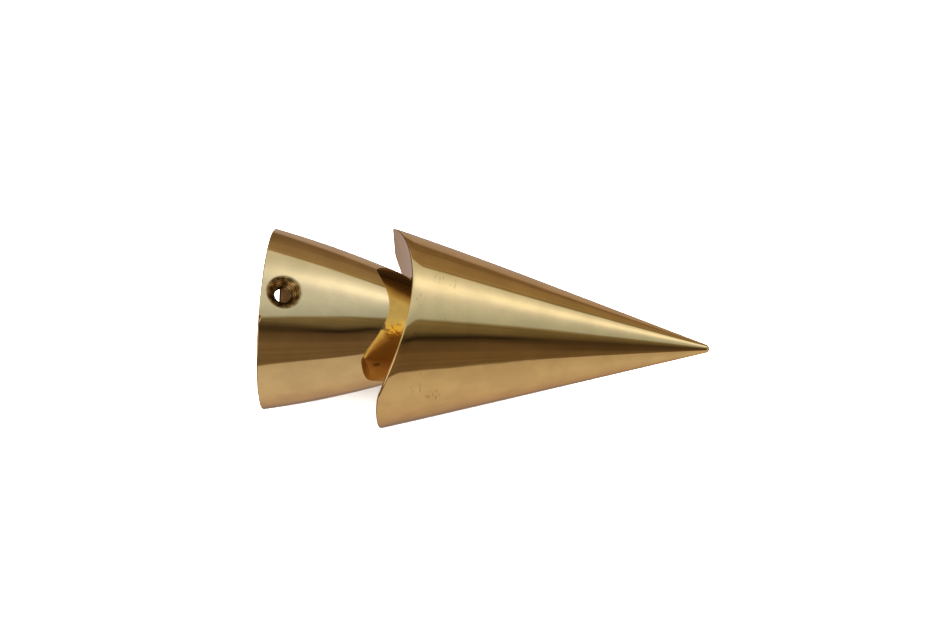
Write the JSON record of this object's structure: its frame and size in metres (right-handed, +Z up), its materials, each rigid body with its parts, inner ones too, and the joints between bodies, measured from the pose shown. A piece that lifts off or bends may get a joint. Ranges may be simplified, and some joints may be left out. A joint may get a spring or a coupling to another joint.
{
  "type": "pole finial",
  "caption": "Polished brass arrow finial: tapered ferrule with a pole socket and a countersunk side screw hole, and a barbed cone head that screws onto its neck.",
  "frame": {"origin": "centre of the pole socket's mouth", "axes": "+X along the pole axis from the socket's mouth to the tip; the barbs lie along +Y and -Y; +Z is up, on the side of the fixing screw hole"},
  "size_m": [0.1165, 0.0544, 0.0496],
  "materials": {
    "polished_brass": "machine-turned and polished to a mirror, with a few casting pits near the edges",
    "hardware_brass": "as machined, dulled",
    "spring_steel": "plain stainless"
  },
  "bodies": {
    "ferrule": {"ferrule": "polished_brass", "stud": "hardware_brass", "stud_nut": "hardware_brass", "lock_washer": "spring_steel", "nut_washer": "hardware_brass"},
    "seat_washer": {"seat_washer": "hardware_brass"},
    "arrowhead": {"arrowhead": "polished_brass"}
  },
  "joints": [
    {"name": "arrowhead_turn", "type": "hinge", "parent": "ferrule", "child": "seat_washer", "pos_m": [0.042, 0, 0], "axis": [1, 0, 0], "range_deg": [0, 3600]},
    {"name": "arrowhead_advance", "type": "slide", "parent": "seat_washer", "child": "arrowhead", "axis": [1, 0, 0], "range_m": [0, 0.0151]}
  ],
  "couplings": [
    {"joint": "arrowhead_advance", "follows": "arrowhead_turn", "m_per_rad": 0.00023873}
  ]
}
